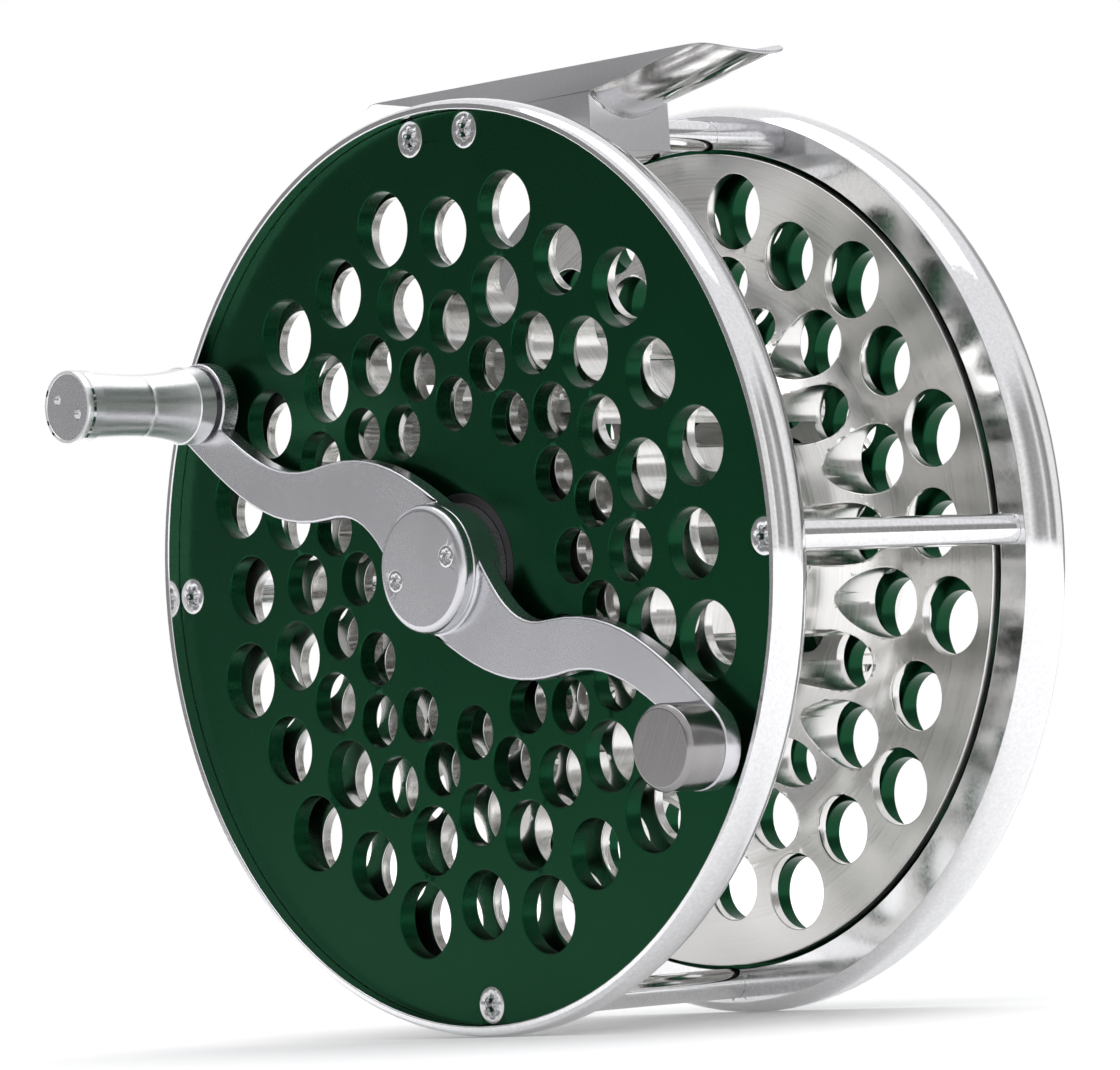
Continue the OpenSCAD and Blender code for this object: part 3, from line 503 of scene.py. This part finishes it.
for name, solid in nodes.items():
    if name in EDGE_WIDTHS:
        finished_copy(name, EDGE_WIDTHS[name], slot_of[name], seams=name in SEAMED)
        continue
    solid.data.materials.clear()
    solid.data.materials.append(FINISHES[slot_of[name]])
print(len(EDGE_WIDTHS), "pieces with broken edges of", len(nodes))

# %% [markdown]
# The foot is blasted all over, and then the rounded underside of its two wings is polished
# bright. Those are the faces that look down, away from the block in the middle.

# %% Polish under the wings of the foot
BLOCK_END = 9.6 * MM
LOOKS_DOWN = -0.1
foot = bpy.data.objects["reel_foot_finished"]
foot.data.materials.append(FINISHES["polished_aluminium"])
polished_faces = 0
for face in foot.data.polygons:
    if abs(face.center.x) > BLOCK_END and face.normal.z < LOOKS_DOWN:
        face.material_index = 1
        polished_faces += 1
print(polished_faces, "faces polished under the foot")

# %% [markdown]
# ## The handle
#
# The handle is a bright turning with a collar at its foot, a waist for the fingers, a fine
# groove round the waist and a band at its end, where the cap sits. All of that is round, so
# half of each outline is drawn as a few points and spun about the handle's axis. The waist
# is a parabola between the collar and the band, whose radii come from the solids.

# %% Spin an outline about the handle's axis
HANDLE_LOW, HANDLE_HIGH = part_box("handle_knob")
CAP_LOW, CAP_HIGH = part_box("handle_end_cap")
HANDLE_X = (CAP_LOW.x + CAP_HIGH.x) / 2
HANDLE_Z = (CAP_LOW.z + CAP_HIGH.z) / 2
HANDLE_FOOT_Y = HANDLE_HIGH.y
HANDLE_END_Y = CAP_LOW.y
CAP_R = (CAP_HIGH.x - CAP_LOW.x) / 2
FOOT_R = (HANDLE_HIGH.x - HANDLE_LOW.x) / 2
CAP_TOP = HANDLE_FOOT_Y - HANDLE_END_Y
CAP_SEAM = HANDLE_FOOT_Y - HANDLE_LOW.y
SPIN_STEPS = 96


def spun_piece(name, outline):
    """A closed turning in the handle's metal. The outline holds (radius, distance from the
    handle's foot) in metres, and the finish is always the handle's turned aluminium."""
    bm = bmesh.new()
    points = []
    for radius, height in outline:
        place = (HANDLE_X + radius, HANDLE_FOOT_Y - height, HANDLE_Z)
        points.append(bm.verts.new(place))
    edges = []
    for first, second in zip(points, points[1:]):
        edges.append(bm.edges.new((first, second)))
    bmesh.ops.spin(bm, geom=points + edges, cent=(HANDLE_X, 0.0, HANDLE_Z), axis=(0.0, 1.0, 0.0),
                   angle=math.tau, steps=SPIN_STEPS, use_merge=True, use_duplicate=False)
    bmesh.ops.remove_doubles(bm, verts=bm.verts, dist=WELD)
    bmesh.ops.recalc_face_normals(bm, faces=bm.faces)
    for face in bm.faces:
        face.smooth = True
    for edge in bm.edges:
        edge.smooth = edge.calc_face_angle(0.0) < SHARP
    mesh = bpy.data.meshes.new(name)
    bm.to_mesh(mesh)
    bm.free()
    piece = bpy.data.objects.new(name, mesh)
    bpy.context.scene.collection.objects.link(piece)
    mesh.materials.append(FINISHES["handle_aluminium"])
    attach(piece, body_of(nodes["handle_knob"])[0])
    return piece


# %% Handle knob
KNOB_BORE = 3.05 * MM
COLLAR = 2.3 * MM
CAP_BAND = 2.4 * MM
WAIST_R = 3.6 * MM
WAIST_STEPS = 20
WAIST_END = CAP_TOP - CAP_BAND
FOOT_BREAK = 0.15 * MM
EDGE_BREAK = 0.1 * MM
STEP_AT_COLLAR = 0.12 * MM
STEP_AT_BAND = 0.15 * MM
GROOVE_AT = 0.52 * WAIST_END
GROOVE_REACH = 0.2 * MM
GROOVE_HALF_W = 0.06 * MM
GROOVE_DEPTH = 0.03 * MM


def waist_outline():
    """Points of the waist, from the collar to the band, with the groove at its nearest step."""
    outline = []
    for step in range(WAIST_STEPS + 1):
        share = step / WAIST_STEPS
        height = COLLAR + (WAIST_END - COLLAR) * share
        bow = (2.0 * share - 1.0) ** 2
        end_r = (FOOT_R - STEP_AT_COLLAR) * (1.0 - share) + (CAP_R - STEP_AT_BAND) * share
        radius = WAIST_R + (end_r - WAIST_R) * bow
        if abs(height - GROOVE_AT) < GROOVE_REACH:
            outline.append((radius, height - GROOVE_HALF_W))
            outline.append((radius - GROOVE_DEPTH, height))
            outline.append((radius, height + GROOVE_HALF_W))
        else:
            outline.append((radius, height))
    return outline


collar_outline = [(KNOB_BORE, 0.0), (FOOT_R - FOOT_BREAK, 0.0), (FOOT_R, FOOT_BREAK),
                  (FOOT_R, COLLAR - EDGE_BREAK), (FOOT_R - EDGE_BREAK, COLLAR)]
band_outline = [(CAP_R - EDGE_BREAK, WAIST_END), (CAP_R, WAIST_END + EDGE_BREAK),
                (CAP_R, CAP_SEAM), (KNOB_BORE, CAP_SEAM), (KNOB_BORE, 0.0)]
knob_outline = collar_outline + waist_outline() + band_outline
knob = spun_piece("handle_knob_turned", knob_outline)
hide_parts("handle_knob")
print(f"handle {1000 * CAP_TOP:.1f} mm long, {len(knob_outline)} points")

# %% [markdown]
# The cap keeps the shape of its solid and its crisp edges. Its face is lapped flat, and the
# two holes for the spanner stay polished inside. A rim stands a little above that face.

# %% Handle end cap
FACE_DEPTH = 0.05 * MM
RIM_R = CAP_R + 0.02 * MM
RIM_W = 0.45 * MM
RIM_PROUD = 0.08 * MM
RIM_DEPTH = 0.6 * MM
RIM_SHOULDER = 0.15 * MM
RIM_INNER_BREAK = 0.06 * MM
RIM_INNER_FOOT = 0.02 * MM

end_cap = finished_copy("handle_end_cap", 0.0, "polished_aluminium")
end_cap.data.materials.append(FINISHES["crank_aluminium"])
for face in end_cap.data.polygons:
    if face.normal.y < -0.99 and face.center.y < CAP_LOW.y + FACE_DEPTH:
        face.material_index = 1

rim_outline = [
    (RIM_R, CAP_TOP - RIM_DEPTH),
    (RIM_R, CAP_TOP - RIM_SHOULDER),
    (RIM_R - EDGE_BREAK, CAP_TOP + RIM_PROUD),
    (RIM_R - RIM_W + RIM_INNER_BREAK, CAP_TOP + RIM_PROUD),
    (RIM_R - RIM_W, CAP_TOP - RIM_INNER_FOOT),
    (RIM_R - RIM_W, CAP_TOP - RIM_DEPTH),
    (RIM_R, CAP_TOP - RIM_DEPTH),
]
spun_piece("handle_cap_rim", rim_outline)
print("cap radius", round(CAP_R * 1000, 2), "mm")

# %% [markdown]
# ## Floor and light
#
# The reel stands on a floor of white paper. The paper glows by its own emission, which is
# painted light: faint under the reel and brighter away from it. One large soft light hangs
# above the reel. The rest of the light comes from the world around it, which is painted as the
# walls and the ceiling of a small studio: bright screens with dark gaps between them, which
# the polished rings show as long streaks.

# %% Floor
FLOOR_Z = cad_box[0][2]
FLOOR_SIZE = 3.0
PAPER = 0.92
PAPER_ROUGHNESS = 0.8
PAINTED_GLOW_UNDER_REEL = 0.12
PAINTED_GLOW_GAIN = 0.4
PAINTED_GLOW_STARTS = 0.1
PAINTED_GLOW_ENDS = 0.7


def add_floor():
    bm = bmesh.new()
    bmesh.ops.create_grid(bm, x_segments=1, y_segments=1, size=FLOOR_SIZE)
    bmesh.ops.translate(bm, verts=bm.verts, vec=(0.0, 0.0, FLOOR_Z))
    mesh = bpy.data.meshes.new("floor")
    bm.to_mesh(mesh)
    bm.free()
    floor = bpy.data.objects.new("floor", mesh)
    bpy.context.scene.collection.objects.link(floor)
    paper = bpy.data.materials.new("white paper")
    paper.use_nodes = True
    tree = paper.node_tree
    shader = tree.nodes["Principled BSDF"]
    shader.inputs["Base Color"].default_value = (PAPER, PAPER, PAPER, 1.0)
    shader.inputs["Roughness"].default_value = PAPER_ROUGHNESS
    shader.inputs["Emission Color"].default_value = (1.0, 1.0, 1.0, 1.0)
    # Painted light: the paper emits light of its own, faint under the reel and stronger away from
    # it.
    distance = tree.nodes.new("ShaderNodeVectorMath")
    distance.operation = "LENGTH"
    tree.links.new(tree.nodes.new("ShaderNodeTexCoord").outputs["Object"], distance.inputs[0])
    away = ramp_range(tree, distance.outputs["Value"], PAINTED_GLOW_STARTS, PAINTED_GLOW_ENDS)
    gain = math_node(tree, "MULTIPLY", away, PAINTED_GLOW_GAIN)
    painted_glow = math_node(tree, "ADD", gain, PAINTED_GLOW_UNDER_REEL)
    tree.links.new(painted_glow, shader.inputs["Emission Strength"])
    mesh.materials.append(paper)


add_floor()
print(f"floor at z {FLOOR_Z * 1000:.1f} mm")

# %% Overhead light
LIGHT_PLACE = Vector((0.0, 0.1, 0.7))
LIGHT_WIDTH = 0.8
LIGHT_LENGTH = 0.6
LIGHT_WATTS = 3.0


def add_overhead_light():
    data = bpy.data.lights.new("overhead", "AREA")
    data.shape = "RECTANGLE"
    data.size = LIGHT_WIDTH
    data.size_y = LIGHT_LENGTH
    data.energy = LIGHT_WATTS
    light = bpy.data.objects.new("overhead", data)
    bpy.context.scene.collection.objects.link(light)
    light.location = LIGHT_PLACE
    reel_centre = Vector((AXIS_X, 0.0, AXIS_Z))
    light.rotation_euler = (reel_centre - LIGHT_PLACE).to_track_quat("-Z", "Y").to_euler()


add_overhead_light()
print(f"a light of {LIGHT_WATTS:.0f} W overhead")

# %% The studio's walls and ceiling
# Each pair is (turn, tone). A turn of 0.5 is behind the reel, 0.75 to its right, 0.25 to its
# left, and 0 or 1 in front of it.
WALL_TONES = (
    (0.00, 0.30), (0.08, 0.26), (0.17, 0.26), (0.23, 0.42), (0.28, 0.90), (0.38, 1.00),
    (0.43, 0.40), (0.48, 0.35), (0.53, 0.90), (0.585, 0.95), (0.615, 0.28), (0.65, 0.38),
    (0.67, 0.85), (0.70, 0.40), (0.75, 0.35), (0.80, 0.95), (0.88, 0.80), (0.94, 0.35),
)
CEILING_TONE = (0.88, 0.88, 0.90, 1.0)
CEILING_STARTS = 0.45
CEILING_FULL = 0.6
WHITE = (1.0, 1.0, 1.0, 1.0)


def tone_ramp(tree, value, tones):
    """A grey Color Ramp with a stop for each (place, tone)."""
    node = tree.nodes.new("ShaderNodeValToRGB")
    node.color_ramp.interpolation = "EASE"
    stops = node.color_ramp.elements
    while len(stops) < len(tones):
        stops.new(0.5)
    for stop, (place, tone) in zip(stops, tones):
        stop.position = place
        stop.color = (tone, tone, tone, 1.0)
    tree.links.new(value, node.inputs[0])
    return node.outputs["Color"]


def mix_colors(tree, factor, first, second):
    """A Mix node for colours; an argument is a socket or a colour. Returns its output socket."""
    node = tree.nodes.new("ShaderNodeMix")
    node.data_type = "RGBA"
    for label, value in (("Factor", factor), ("A", first), ("B", second)):
        if isinstance(value, tuple):
            node.inputs[label].default_value = value
        else:
            tree.links.new(value, node.inputs[label])
    return node.outputs["Result"]


def add_studio():
    world = bpy.data.worlds.new("studio")
    world.use_nodes = True
    tree = world.node_tree
    split = tree.nodes.new("ShaderNodeSeparateXYZ")
    tree.links.new(tree.nodes.new("ShaderNodeTexCoord").outputs["Generated"], split.inputs[0])
    angle = math_node(tree, "ARCTAN2", split.outputs["X"], split.outputs["Y"])
    turn = math_node(tree, "ADD", math_node(tree, "DIVIDE", angle, math.tau), 0.5)
    walls = tone_ramp(tree, turn, WALL_TONES)
    ceiling = ramp_range(tree, split.outputs["Z"], CEILING_STARTS, CEILING_FULL)
    lit = mix_colors(tree, ceiling, walls, CEILING_TONE)
    # The camera itself sees plain white paper.
    seen = tree.nodes.new("ShaderNodeLightPath").outputs["Is Camera Ray"]
    shown = mix_colors(tree, seen, lit, WHITE)
    tree.links.new(shown, tree.nodes["Background"].inputs["Color"])
    bpy.context.scene.world = world


add_studio()
bpy.context.scene.view_settings.view_transform = "Standard"
print("studio with", len(WALL_TONES), "wall tones")
